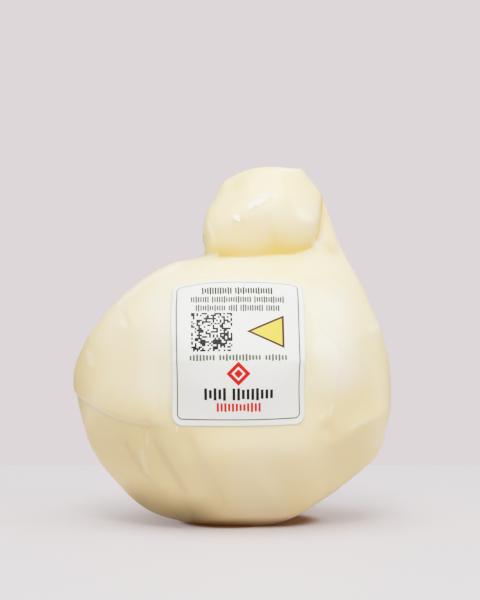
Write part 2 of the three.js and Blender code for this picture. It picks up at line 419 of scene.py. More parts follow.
def srgb(red: int, green: int, blue: int) -> tuple[float, float, float, float]:
    """A screen colour as the linear colour that shaders take.

    Args:
        red: 0 to 255.
        green: 0 to 255.
        blue: 0 to 255.

    Returns:
        Linear red, green, blue and a full alpha.
    """
    def linear(level: int) -> float:
        """One screen level made linear."""
        share = level / 255
        return share / 12.92 if share <= 0.04045 else ((share + 0.055) / 1.055) ** 2.4

    return linear(red), linear(green), linear(blue), 1.0


class Wire:
    """A node's output that can be reckoned with: each step adds a Math node to its tree."""

    def __init__(self, board: "Board", socket: bpy.types.NodeSocket) -> None:
        """Keeps the socket and the board that it is on."""
        self.board = board
        self.socket = socket

    def math(self, operation: str, *values: "Wire | float") -> "Wire":
        """A Math node on values.

        Args:
            operation: the Math node's operation.
            values: what it works on, in order.

        Returns:
            Its result.
        """
        made = self.board.node("ShaderNodeMath", {"operation": operation}, dict(enumerate(values)))
        return Wire(self.board, made.outputs[0])

    def __add__(self, other: "Wire | float") -> "Wire":
        """Sum."""
        return self.math("ADD", self, other)

    def __radd__(self, other: float) -> "Wire":
        """Sum with a plain number first."""
        return self.math("ADD", other, self)

    def __sub__(self, other: "Wire | float") -> "Wire":
        """Difference."""
        return self.math("SUBTRACT", self, other)

    def __rsub__(self, other: float) -> "Wire":
        """Difference with a plain number first."""
        return self.math("SUBTRACT", other, self)

    def __mul__(self, other: "Wire | float") -> "Wire":
        """Product."""
        return self.math("MULTIPLY", self, other)

    def __rmul__(self, other: float) -> "Wire":
        """Product with a plain number first."""
        return self.math("MULTIPLY", other, self)

    def __truediv__(self, other: "Wire | float") -> "Wire":
        """Quotient."""
        return self.math("DIVIDE", self, other)

    def __abs__(self) -> "Wire":
        """Size without its sign."""
        return self.math("ABSOLUTE", self)

    def at_least(self, other: "Wire | float") -> "Wire":
        """Larger of two."""
        return self.math("MAXIMUM", self, other)

    def at_most(self, other: "Wire | float") -> "Wire":
        """Smaller of two."""
        return self.math("MINIMUM", self, other)

    def floor(self) -> "Wire":
        """Whole number below."""
        return self.math("FLOOR", self)

    def root(self) -> "Wire":
        """Square root."""
        return self.math("SQRT", self)

    def ramp(self, low: float, high: float) -> "Wire":
        """Eased share of the way from low to high.

        Args:
            low: where the share is 0.
            high: where the share is 1.

        Returns:
            A share between 0 and 1.
        """
        made = self.board.node("ShaderNodeMapRange", {"interpolation_type": "SMOOTHSTEP"},
                               {0: self, 1: low, 2: high, 3: 0.0, 4: 1.0})
        return Wire(self.board, made.outputs[0])


class Board:
    """A node tree that is being wired."""

    MIX_FACTOR, MIX_FIRST, MIX_SECOND, MIX_RESULT = 0, 6, 7, 2  # a colour Mix node's sockets

    def __init__(self, tree: bpy.types.NodeTree) -> None:
        """Keeps the tree."""
        self.tree = tree

    def node(self, kind: str, settings: dict[str, object] | None = None,
             sockets: dict[int | str, object] | None = None) -> bpy.types.Node:
        """Adds a node.

        Args:
            kind: the node's type.
            settings: its own settings, which are set first.
            sockets: values or wires for its inputs, by name or place.

        Returns:
            The node.
        """
        made = self.tree.nodes.new(kind)
        for name, value in (settings or {}).items():
            setattr(made, name, value)
        for key, value in (sockets or {}).items():
            if isinstance(value, Wire):
                self.tree.links.new(value.socket, made.inputs[key])
            else:
                made.inputs[key].default_value = value
        return made

    def wire(self, kind: str, settings: dict[str, object] | None = None,
             sockets: dict[int | str, object] | None = None, output: int | str = 0) -> Wire:
        """Adds a node and gives one of its outputs.

        Args:
            kind: the node's type.
            settings: its own settings.
            sockets: values or wires for its inputs.
            output: the output's name or place.

        Returns:
            The output.
        """
        return Wire(self, self.node(kind, settings, sockets).outputs[output])

    def tint(self, factor: "Wire | float", first: object, second: object) -> Wire:
        """Mixes two colours.

        Args:
            factor: share of the second colour.
            first: a colour or a wire that carries one.
            second: a colour or a wire that carries one.

        Returns:
            The mixed colour.
        """
        sockets = {self.MIX_FACTOR: factor, self.MIX_FIRST: first, self.MIX_SECOND: second}
        return self.wire("ShaderNodeMix", {"data_type": "RGBA"}, sockets, self.MIX_RESULT)

    def grain(self, place: Wire, scale: float, detail: float = 2.0) -> Wire:
        """Soft noise in space.

        Args:
            place: where it is read.
            scale: waves in a unit of place.
            detail: octaves.

        Returns:
            Values about one half.
        """
        return self.wire("ShaderNodeTexNoise", {"noise_dimensions": "3D"},
                         {"Vector": place, "Scale": scale, "Detail": detail}, "Fac")

    def stretched(self, place: Wire, scale: tuple[float, float, float]) -> Wire:
        """Place with each axis scaled, so that a pattern is drawn out along one of them."""
        return self.wire("ShaderNodeMapping", {"vector_type": "POINT"}, {"Vector": place, "Scale": scale})

    def bump(self, height: Wire, depth: float, strength: float) -> Wire:
        """Small relief for a shader's Normal.

        Args:
            height: the relief, 0 to 1.
            depth: metres that a height of 1 stands for.
            strength: share of it that shows.

        Returns:
            The bent normal.
        """
        sockets = {"Strength": strength, "Distance": depth, "Height": height}
        return self.wire("ShaderNodeBump", None, sockets, "Normal")


def new_material(name: str) -> tuple[bpy.types.Material, Board]:
    """Starts a material with no nodes.

    Args:
        name: the material's name.

    Returns:
        The material and the board of its node tree.
    """
    material = bpy.data.materials.new(name)
    material.use_nodes = True
    material.node_tree.nodes.clear()
    return material, Board(material.node_tree)


# Finishes

@dataclass(frozen=True)
class Band:
    """A soft-edged band along a line on the skin, as x and z: painted shade or light in the curd, or a
    painted glint on the film.
    """

    faces: tuple[Face, ...]
    line: tuple[tuple[float, float], ...]
    half: float
    share: float

    CORE = 0.1  # part of the half width that has the whole share
    TURN = 4.0  # a band fades over this much y on either side of the line between front and back

    def mask(self, across: Wire, depth: Wire, up: Wire) -> Wire:
        """How strong the band is.

        Args:
            across: x in millimetres.
            depth: y in millimetres.
            up: z in millimetres.

        Returns:
            A value between 0 and the band's share.
        """
        nearest = None
        for (start_x, start_z), (stop_x, stop_z) in zip(self.line, self.line[1:]):
            run_x, run_z = stop_x - start_x, stop_z - start_z
            square = run_x * run_x + run_z * run_z
            from_x, from_z = across - start_x, up - start_z
            along = (from_x * (run_x / square) + from_z * (run_z / square)).at_least(0.0).at_most(1.0)
            off_x, off_z = from_x - along * run_x, from_z - along * run_z
            apart = (off_x * off_x + off_z * off_z).root()
            nearest = apart if nearest is None else nearest.at_most(apart)
        shown = (1 - nearest.ramp(self.CORE * self.half, self.half)) * self.share
        if len(self.faces) > 1:
            return shown
        return shown * (depth * self.faces[0].value).ramp(-self.TURN, self.TURN)

    @staticmethod
    def strongest(bands: "tuple[Band, ...]", place: Wire) -> Wire:
        """The strongest of several bands at each spot.

        Args:
            bands: the bands.
            place: the spot, in metres.

        Returns:
            A share between 0 and 1.
        """
        spot = place.board.node("ShaderNodeSeparateXYZ", None, {"Vector": place})
        across, depth, up = (Wire(place.board, spot.outputs[axis]) / MM for axis in "XYZ")
        masks = [band.mask(across, depth, up) for band in bands]
        strongest = masks[0]
        for mask in masks[1:]:
            strongest = strongest.at_least(mask)
        return strongest


FRONT, BACK, AROUND = (Face.FRONT,), (Face.BACK,), (Face.FRONT, Face.BACK)

# Painted tan shade on the flanks, low at the back and on the head
PAINTED_TAN_SHADE_BANDS = (
    Band(FRONT, ((-54, 38), (-24, 35)), 24, 0.68),
    Band(FRONT, ((50, 52), (49, 33)), 24, 0.68),
    Band(FRONT, ((42, 133), (43.5, 117)), 7, 0.75),
    Band(FRONT, ((2.5, 144), (7, 146.5)), 5, 0.4),
    Band(FRONT, ((17.4, 137), (18.2, 136.2)), 2, 0.5),
    Band(AROUND, ((-67, 72), (-68, 50)), 18, 0.8),
    Band(AROUND, ((67, 70), (66, 44)), 14, 0.5),
    Band(BACK, ((-40, 34), (44, 36)), 22, 0.5),
)
# Painted light: paler curd in the middle, front and back
PAINTED_LIGHT_BANDS = (
    Band(FRONT, ((10, 36), (13, 2)), 18, 0.6),
    Band(BACK, ((-20, 80), (16, 76)), 22, 0.4),
)
# Painted shade: a dark edge over the seat, and thin dark lines in the folds
PAINTED_UMBER_SHADE_BANDS = (
    Band(AROUND, ((-38, 6), (-26, 3), (-17, 0.5)), 17, 0.8),
    Band(FRONT, ((-43, 35.5), (-39.3, 28.5), (-35.3, 22.7), (-29.6, 15)), 1.8, 0.1),
    Band(FRONT, ((-31, 37.3), (-25, 27.3), (-20.2, 19.7), (-16.4, 11)), 2.4, 0.11),
    Band(FRONT, ((-16, 38.5), (-12, 32.4), (-8.9, 27.4), (-2.6, 11.4)), 2.6, 0.05),
    Band(FRONT, ((-44, 89.3), (-41.5, 84.5)), 1.8, 0.08),
    Band(BACK, ((-20, 0), (30, 2)), 8, 0.5),
)
# Painted highlights and sheen where the film is puckered or stands off the curd, and broad painted sheen
# beside the label
PAINTED_SHEEN_BANDS = (
    Band(FRONT, ((-66, 55), (-60.5, 52.5), (-51.3, 48.4), (-47, 46.6)), 0.6, 0.35),
    Band(FRONT, ((-47, 46.6), (-40.4, 45.3), (-33.1, 44.3)), 0.6, 0.2),
    Band(FRONT, ((-10, 126.5), (-8.3, 121.8), (-7.6, 119.5)), 0.7, 0.35),
    Band(FRONT, ((-9.5, 112.6), (-7, 112.8)), 2.0, 0.55),
    Band(FRONT, ((11.2, 137.8), (13.8, 138.4)), 1.6, 0.35),
    Band(FRONT, ((19.9, 149), (26.3, 149.2)), 0.9, 0.5),
    Band(FRONT, ((34.6, 119), (36.6, 117.6)), 2.2, 0.4),
    Band(FRONT, ((37.5, 135.8), (37.3, 129.7)), 0.6, 0.3),
    Band(FRONT, ((-47.2, 92.9), (-38.5, 99.9), (-29.6, 105.5), (-22.2, 108.9)), 1.6, 0.5),
    Band(FRONT, ((-59.6, 72), (-58.4, 68)), 2.5, 0.3),
    Band(FRONT, ((-45.5, 85.6), (-42.6, 83.5)), 1.6, 0.25),
    Band(FRONT, ((37.2, 80.5), (41.5, 74.9)), 3.0, 0.25),
    Band(FRONT, ((10, 131), (16, 129)), 8, 0.16),
    Band(FRONT, ((40, 88), (42, 66)), 16, 0.45),
    Band(FRONT, ((-28, 90), (-31, 62)), 15, 0.4),
    Band(FRONT, ((40.7, 52.2), (39.3, 48)), 1.4, 0.25),
    Band(FRONT, ((58.2, 82.7), (62.6, 83.7)), 2.0, 0.25),
    Band(FRONT, ((48.3, 42.2), (58.6, 46.1)), 1.6, 0.2),
    Band(FRONT, ((60.1, 32.3), (61.6, 35)), 0.8, 0.25),
    Band(FRONT, ((-30.5, 53.8), (-30.5, 51.4)), 0.7, 0.45),
    Band(FRONT, ((-21.9, 44), (-21.9, 42.5)), 0.7, 0.4),
    Band(FRONT, ((-34.1, 41.7), (-34.3, 35.9)), 0.7, 0.2),
    Band(FRONT, ((-36.7, 32.9), (-35, 24.3)), 1.6, 0.18),
    Band(FRONT, ((-13.2, 104.6), (-1, 105.4)), 0.9, 0.3),
    Band(BACK, ((-66, 55.8), (-58, 57), (-44, 54)), 0.6, 0.35),
    Band(BACK, ((-44, 54), (-26, 50), (-8, 51)), 0.6, 0.22),
    Band(BACK, ((47, 67), (36, 80), (30, 90)), 1.2, 0.3),
    Band(BACK, ((56, 50), (44, 47.5)), 1.4, 0.25),
    Band(BACK, ((-46, 88), (-34, 96), (-26, 98)), 1.1, 0.28),
    Band(BACK, ((12, 112), (18, 113.6), (22, 112.4)), 1.2, 0.4),
    Band(BACK, ((-4, 111.4), (-1, 112.6)), 1.1, 0.4),
    Band(BACK, ((2, 129), (6, 133.6)), 1.6, 0.5),
    Band(BACK, ((-18, 30), (-17, 22)), 1.2, 0.2),
    Band(BACK, ((8, 66), (14, 62)), 2.4, 0.18),
)


@dataclass(frozen=True)
class CurdFinish:
    """Smooth ivory curd: fibres drawn up the body, straw colour low down, painted amber shade in the creases,
    and painted shade and light in bands.
    """

    ivory: tuple[float, float, float, float] = srgb(247, 231, 196)
    cream: tuple[float, float, float, float] = srgb(245, 226, 185)
    straw: tuple[float, float, float, float] = srgb(240, 217, 166)
    # painted shade: tan for the shade bands
    tan: tuple[float, float, float, float] = srgb(224, 201, 150)
    # painted shade: amber for the creases
    crease_shade_amber: tuple[float, float, float, float] = srgb(240, 196, 104)
    # painted shade: dark brown for the foot at the floor
    contact_shade: tuple[float, float, float, float] = srgb(160, 118, 56)
    # painted shade: umber for the underside and fold lines
    umber_shade: tuple[float, float, float, float] = srgb(150, 128, 62)
    # painted highlight: white for the sheen marks
    painted_sheen_white: tuple[float, float, float, float] = srgb(255, 251, 240)
    contact_shade_to: float = 0.005  # height where the dark foot ends
    straw_from: float = 0.062  # height where the straw colour starts, going down
    straw_to: float = 0.004  # height where it is full
    straw_share: float = 0.8
    straw_streaks: float = 0.3
    # painted shade: straw tint on the lower head
    warm_share: float = 0.6  # straw colour on the lower head
    crease_span: tuple[float, float] = (0.15, 1.0)
    crease_share: float = 0.95
    cloud_scale: float = 38.0
    cloud_span: tuple[float, float] = (0.36, 0.64)
    fibre_scale: tuple[float, float, float] = (170.0, 170.0, 34.0)
    fibre_share: float = 0.7
    speck_scale: float = 900.0
    octaves: float = 3.0
    roughness: float = 0.42
    roughness_spread: float = 0.16
    relief_depth: float = 0.00012
    relief_strength: float = 0.5
    glow_share: float = 0.6
    glow_radius: tuple[float, float, float] = (1.0, 0.6, 0.3)
    glow_scale: float = 0.003
    shine: float = 0.3

    def material(self) -> bpy.types.Material:
        """Makes the material.

        Returns:
            The material.
        """
        made, board = new_material("curd")
        place = board.wire("ShaderNodeTexCoord", None, None, "Object")
        height = board.wire("ShaderNodeSeparateXYZ", None, {"Vector": place}, "Z")
        cloud = board.grain(place, self.cloud_scale, self.octaves)
        fibre = board.grain(board.stretched(place, self.fibre_scale), 1.0, self.octaves)
        speck = board.grain(place, self.speck_scale)
        crease = board.wire("ShaderNodeAttribute", {"attribute_name": "crease"}, None, "Fac")
        head_shade = board.wire("ShaderNodeAttribute", {"attribute_name": "head_shade"}, None, "Fac")
        low = 1 - height.ramp(self.straw_to, self.straw_from)
        colour = board.tint(cloud.ramp(*self.cloud_span), self.ivory, self.cream)
        streaks = self.straw_share + self.straw_streaks * (fibre - 0.5)
        colour = board.tint(low * streaks, colour, self.straw)
        # painted shade: straw tint on the lower head, under its overhang
        colour = board.tint(self.warm_share * head_shade, colour, self.straw)
        # painted shade: tan bands
        colour = board.tint(Band.strongest(PAINTED_TAN_SHADE_BANDS, place), colour, self.tan)
        # painted light: paler ivory bands
        colour = board.tint(Band.strongest(PAINTED_LIGHT_BANDS, place), colour, self.ivory)
        # painted shade: umber over the seat and in the folds
        colour = board.tint(Band.strongest(PAINTED_UMBER_SHADE_BANDS, place), colour, self.umber_shade)
        # painted shade: dark brown foot where the curd meets the floor
        colour = board.tint(1 - height.ramp(0.0, self.contact_shade_to), colour, self.contact_shade)
        # painted shade: amber in the neck's crease and between the lobes
        colour = board.tint(crease.ramp(*self.crease_span) * self.crease_share, colour, self.crease_shade_amber)
        # painted highlights and sheen: white marks from the sheen bands
        colour = board.tint(Band.strongest(PAINTED_SHEEN_BANDS, place), colour, self.painted_sheen_white)
        relief = fibre * self.fibre_share + speck * (1 - self.fibre_share)
        surface = board.wire("ShaderNodeBsdfPrincipled", None, {
            "Base Color": colour,
            "Roughness": self.roughness + self.roughness_spread * cloud,
            "Normal": board.bump(relief, self.relief_depth, self.relief_strength),
            "Subsurface Weight": self.glow_share,
            "Subsurface Radius": self.glow_radius,
            "Subsurface Scale": self.glow_scale,
            "Specular IOR Level": self.shine,
        })
        board.node("ShaderNodeOutputMaterial", None, {"Surface": surface})
        return made


# Painted glints on the head: white marks mixed into the film
PAINTED_GLINT_BANDS = (
    Band(FRONT, ((1.4, 128.6), (2.9, 127.9)), 2.2, 1.0),
    Band(FRONT, ((7.8, 133.4), (11.5, 135.6)), 2.3, 1.0),
    Band(FRONT, ((15.9, 138), (16.4, 137.4)), 1.0, 0.8),
)


@dataclass(frozen=True)
class FilmFinish:
    """Clear shrink film: seen by its gloss and by a few broken painted glints of white."""

    painted_glint_white: tuple[float, float, float, float] = srgb(255, 252, 244)
    refraction: float = 1.4
    roughness: float = 0.14
    roughness_spread: float = 0.12
    roughness_scale: float = 70.0
    ripple_scale: float = 260.0
    ripple_octaves: float = 3.0
    ripple_depth: float = 0.0001
    ripple_strength: float = 0.1
    gloss: float = 0.03
    edge_gloss: float = 0.12
    glint_scale: float = 620.0
    glint_torn: tuple[float, float] = (0.36, 0.5)  # noise between which a glint is broken up

    def material(self) -> bpy.types.Material:
        """Makes the material.

        Returns:
            The material.
        """
        made, board = new_material("clear_film")
        place = board.wire("ShaderNodeTexCoord", None, None, "Object")
        ripple = board.grain(place, self.ripple_scale, self.ripple_octaves)
        normal = board.bump(ripple, self.ripple_depth, self.ripple_strength)
        clear = board.wire("ShaderNodeBsdfTransparent")
        gloss = board.wire("ShaderNodeBsdfGlossy", None, {
            "Color": (1.0, 1.0, 1.0, 1.0),
            "Roughness": self.roughness + self.roughness_spread * board.grain(place, self.roughness_scale),
            "Normal": normal,
        })
        sheen = board.wire("ShaderNodeFresnel", None, {"IOR": self.refraction, "Normal": normal})
        sheen = self.gloss + self.edge_gloss * sheen
        surface = board.wire("ShaderNodeMixShader", None, {0: sheen, 1: clear, 2: gloss})
        # painted highlights: white matte glints mixed into the film on the head
        torn = board.grain(place, self.glint_scale).ramp(*self.glint_torn)
        glint = Band.strongest(PAINTED_GLINT_BANDS, place) * torn
        white = board.wire("ShaderNodeBsdfDiffuse", None, {"Color": self.painted_glint_white, "Normal": normal})
        surface = board.wire("ShaderNodeMixShader", None, {0: glint, 1: surface, 2: white})
        board.node("ShaderNodeOutputMaterial", None, {"Surface": surface})
        return made


class Ink(Enum):
    """Colours of the label's print."""

    BLACK = srgb(8, 7, 7)
    GREY = srgb(66, 62, 58)
    RULE = srgb(96, 106, 88)
    RED = srgb(216, 26, 18)
    YELLOW = srgb(240, 205, 92)
    BROWN = srgb(78, 46, 34)
    PAPER = srgb(232, 233, 228)


@dataclass(frozen=True)
class PrintSheet:
    """The label's surface while its print is drawn: places across and up it in millimetres."""

    board: Board
    across: Wire
    up: Wire
    edge: float = 0.07

    def inside(self, distance: Wire) -> Wire:
        """Mask that is 1 where a distance is below zero."""
        return 1 - distance.ramp(-self.edge, self.edge)

    def box(self, middle: tuple[float, float], half: tuple[float, float]) -> Wire:
        """Distance outside an upright box.

        Args:
            middle: across and up.
            half: half its width and height.

        Returns:
            The distance, below zero inside.
        """
        return (abs(self.across - middle[0]) - half[0]).at_least(abs(self.up - middle[1]) - half[1])

    def chance(self, cell: Wire) -> Wire:
        """A fixed random number from 0 to 1 for a cell number."""
        return self.board.wire("ShaderNodeTexWhiteNoise", {"noise_dimensions": "1D"}, {"W": cell}, "Value")


@dataclass(frozen=True)
class Dashes:
    """A row of plain strokes of uneven height, in groups."""

    ink: Ink
    up: float
    groups: tuple[int, ...]
    height: float
    pitch: float
    seed: float

    FILL = 0.58  # width of a stroke, as a share of its cell
    LEAST = 0.6  # height of the lowest stroke, as a share of the row's

    def mask(self, sheet: PrintSheet) -> Wire:
        """Where the ink goes.

        Args:
            sheet: the label's surface.

        Returns:
            A mask.
        """
        cells = sum(self.groups) + len(self.groups) - 1
        start = -cells * self.pitch / 2
        cell = ((sheet.across - start) / self.pitch).floor()
        tall = sheet.chance(cell + self.seed) * (1 - self.LEAST) + self.LEAST
        middle = (cell + 0.5) * self.pitch + start
        wide = abs(sheet.across - middle) - self.FILL * self.pitch / 2
        high = abs(sheet.up - self.up) - tall * (self.height / 2)
        beyond = None
        first = 0
        for strokes in self.groups:
            outside = abs(cell - (first + (strokes - 1) / 2)) - strokes / 2
            beyond = outside if beyond is None else beyond.at_most(outside)
            first += strokes + 1
        return sheet.inside(wide.at_least(high).at_least(beyond))


@dataclass(frozen=True)
class Rule:
    """A thin line round the label, inside its edge."""

    ink: Ink
    half: tuple[float, float]
    corner: float
    line: float

    def mask(self, sheet: PrintSheet) -> Wire:
        """Where the ink goes.

        Args:
            sheet: the label's surface.

        Returns:
            A mask.
        """
        over_x = abs(sheet.across) - (self.half[0] - self.corner)
        over_y = abs(sheet.up) - (self.half[1] - self.corner)
        out_x, out_y = over_x.at_least(0.0), over_y.at_least(0.0)
        round_part = (out_x * out_x + out_y * out_y).root()
        distance = round_part + over_x.at_least(over_y).at_most(0.0) - self.corner
        return sheet.inside(abs(distance) - self.line / 2)


@dataclass(frozen=True)
class Speckle:
    """A block of small squares, each dark or light by chance."""

    ink: Ink
    middle: tuple[float, float]
    half: float
    cells: int
    seed: float

    EVEN_CHANCE = (0.49, 0.51)  # a square is dark where its random number is past these

    def mask(self, sheet: PrintSheet) -> Wire:
        """Where the ink goes.

        Args:
            sheet: the label's surface.

        Returns:
            A mask.
        """
        size = 2 * self.half / self.cells
        column = ((sheet.across - (self.middle[0] - self.half)) / size).floor()
        row = ((sheet.up - (self.middle[1] - self.half)) / size).floor()
        dark = sheet.chance(row * self.cells + column + self.seed).ramp(*self.EVEN_CHANCE)
        return sheet.inside(sheet.box(self.middle, (self.half, self.half))) * dark


@dataclass(frozen=True)
class Wedge:
    """A slice that widens to the right from its tip, or its outline if it has a line width."""

    ink: Ink
    tip: tuple[float, float]
    length: float
    half: float
    line: float = 0.0

    def mask(self, sheet: PrintSheet) -> Wire:
        """Where the ink goes.

        Args:
            sheet: the label's surface.

        Returns:
            A mask.
        """
        right, over = sheet.across - self.tip[0], sheet.up - self.tip[1]
        slant = math.hypot(self.length, self.half)
        sides = (abs(over) * self.length - right * self.half) / slant
        distance = sides.at_least(right - self.length)
        if self.line:
            distance = abs(distance + self.line / 2) - self.line / 2
        return sheet.inside(distance)


@dataclass(frozen=True)
class Lozenge:
    """A diamond on its point."""

    ink: Ink
    middle: tuple[float, float]
    half: float

    def mask(self, sheet: PrintSheet) -> Wire:
        """Where the ink goes.

        Args:
            sheet: the label's surface.

        Returns:
            A mask.
        """
        return sheet.inside(abs(sheet.across - self.middle[0]) + abs(sheet.up - self.middle[1]) - self.half)


@dataclass(frozen=True)
class PaperFinish:
    """White semi-gloss paper with a generic print of strokes, a speckled block, a wedge and a lozenge."""

    width: float
    height: float
    marks: tuple[Dashes | Rule | Speckle | Wedge | Lozenge, ...]
    shade: tuple[float, float, float, float] = srgb(226, 227, 222)
    fibre_scale: float = 1400.0
    fibre_octaves: float = 3.0
    roughness: float = 0.34
    roughness_spread: float = 0.1
    roughness_scale: float = 120.0
    ink_gloss: float = 0.06
    ink_height: float = 0.3
    relief_depth: float = 0.00003
    relief_strength: float = 0.4
    shine: float = 0.2

    def material(self) -> bpy.types.Material:
        """Makes the material.

        Returns:
            The material.
        """
        made, board = new_material("label_paper")
        flat = board.wire("ShaderNodeUVMap", {"uv_map": "sheet"})
        spot = board.node("ShaderNodeSeparateXYZ", None, {"Vector": flat})
        sheet = PrintSheet(board, (Wire(board, spot.outputs["X"]) - 0.5) * self.width,
                           (Wire(board, spot.outputs["Y"]) - 0.5) * self.height)
        place = board.wire("ShaderNodeTexCoord", None, None, "Object")
        fibre = board.grain(place, self.fibre_scale, self.fibre_octaves)
        colour = board.tint(fibre, self.shade, Ink.PAPER.value)
        inked = None
        for mark in self.marks:
            mask = mark.mask(sheet)
            colour = board.tint(mask, colour, mark.ink.value)
            inked = mask if inked is None else inked.at_least(mask)
        roughness = self.roughness + self.roughness_spread * board.grain(place, self.roughness_scale)
        surface = board.wire("ShaderNodeBsdfPrincipled", None, {
            "Base Color": colour,
            "Roughness": roughness - self.ink_gloss * inked,
            "Normal": board.bump(fibre + self.ink_height * inked, self.relief_depth, self.relief_strength),
            "Specular IOR Level": self.shine,
        })
        board.node("ShaderNodeOutputMaterial", None, {"Surface": surface})
        return made


@dataclass(frozen=True)
class FloorFinish:
    """Plain pale board that glows a little, with a painted shadow round the seat of the cheese: brown colour
    and less glow there.
    """

    pale: tuple[float, float, float, float] = srgb(161, 157, 160)
    paler: tuple[float, float, float, float] = srgb(164, 160, 163)
    painted_shadow_colour: tuple[float, float, float, float] = srgb(112, 70, 44)
    glow: tuple[float, float, float, float] = (0.402, 0.373, 0.381, 1.0)
    painted_shadow_glow: tuple[float, float, float, float] = (0.07, 0.028, 0.008, 1.0)
    # the seat, lee and wide values place the painted shadow on the floor
    seat: tuple[float, float, float] = (-0.001, -0.010, 0.0)  # middle of the shade under the cheese
    seat_edge: tuple[float, float] = (0.017, 0.025)  # distances between which it fades
    lee: tuple[float, float, float] = (0.011, -0.003, 0.0)  # middle of the shade to the right
    lee_edge: tuple[float, float] = (0.019, 0.033)
    wide: tuple[float, float] = (0.03, 0.08)  # fade of the faint shade round both
    wide_share: float = 0.38
    cloud_scale: float = 14.0
    roughness: float = 0.6
    shine: float = 0.25

    def material(self) -> bpy.types.Material:
        """Makes the material.

        Returns:
            The material.
        """
        made, board = new_material("pale_floor")
        place = board.wire("ShaderNodeTexCoord", None, None, "Object")
        from_seat, from_lee = (
            board.wire("ShaderNodeVectorMath", {"operation": "DISTANCE"}, {0: place, 1: middle}, "Value")
            for middle in (self.seat, self.lee))
        # painted shadow: darker brown floor with less glow near the seat
        shade = (1 - from_seat.ramp(*self.seat_edge)).at_least(1 - from_lee.ramp(*self.lee_edge))
        painted_shadow_dim = shade.at_least((1 - from_lee.ramp(*self.wide)) * self.wide_share)
        colour = board.tint(board.grain(place, self.cloud_scale), self.pale, self.paler)
        surface = board.wire("ShaderNodeBsdfPrincipled", None, {
            "Base Color": board.tint(shade, colour, self.painted_shadow_colour),
            "Roughness": self.roughness,
            "Specular IOR Level": self.shine,
            "Emission Color": board.tint(painted_shadow_dim, self.glow, self.painted_shadow_glow),
            "Emission Strength": 1.0,
        })
        board.node("ShaderNodeOutputMaterial", None, {"Surface": surface})
        return made


# Pieces

def add_piece(name: str, mesh: bpy.types.Mesh, material: bpy.types.Material) -> bpy.types.Object:
    """Puts a mesh into the scene as a smooth piece.

    Args:
        name: the piece's name.
        mesh: its mesh, already in place.
        material: its finish.

    Returns:
        The piece.
    """
    mesh.materials.clear()
    mesh.materials.append(material)
    mesh.polygons.foreach_set("use_smooth", [True] * len(mesh.polygons))
    piece = bpy.data.objects.new(name, mesh)
    bpy.context.collection.objects.link(piece)
    return piece


def stand_for(piece: bpy.types.Object, node: str) -> None:
    """Ties a piece to the frame in place of a CAD node.

    Args:
        piece: the piece.
        node: the node that it stands for.
    """
    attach(piece, "root")
    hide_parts(node)
    LOG.info("%s: %d faces, stands for %s", piece.name, len(piece.data.polygons), node)


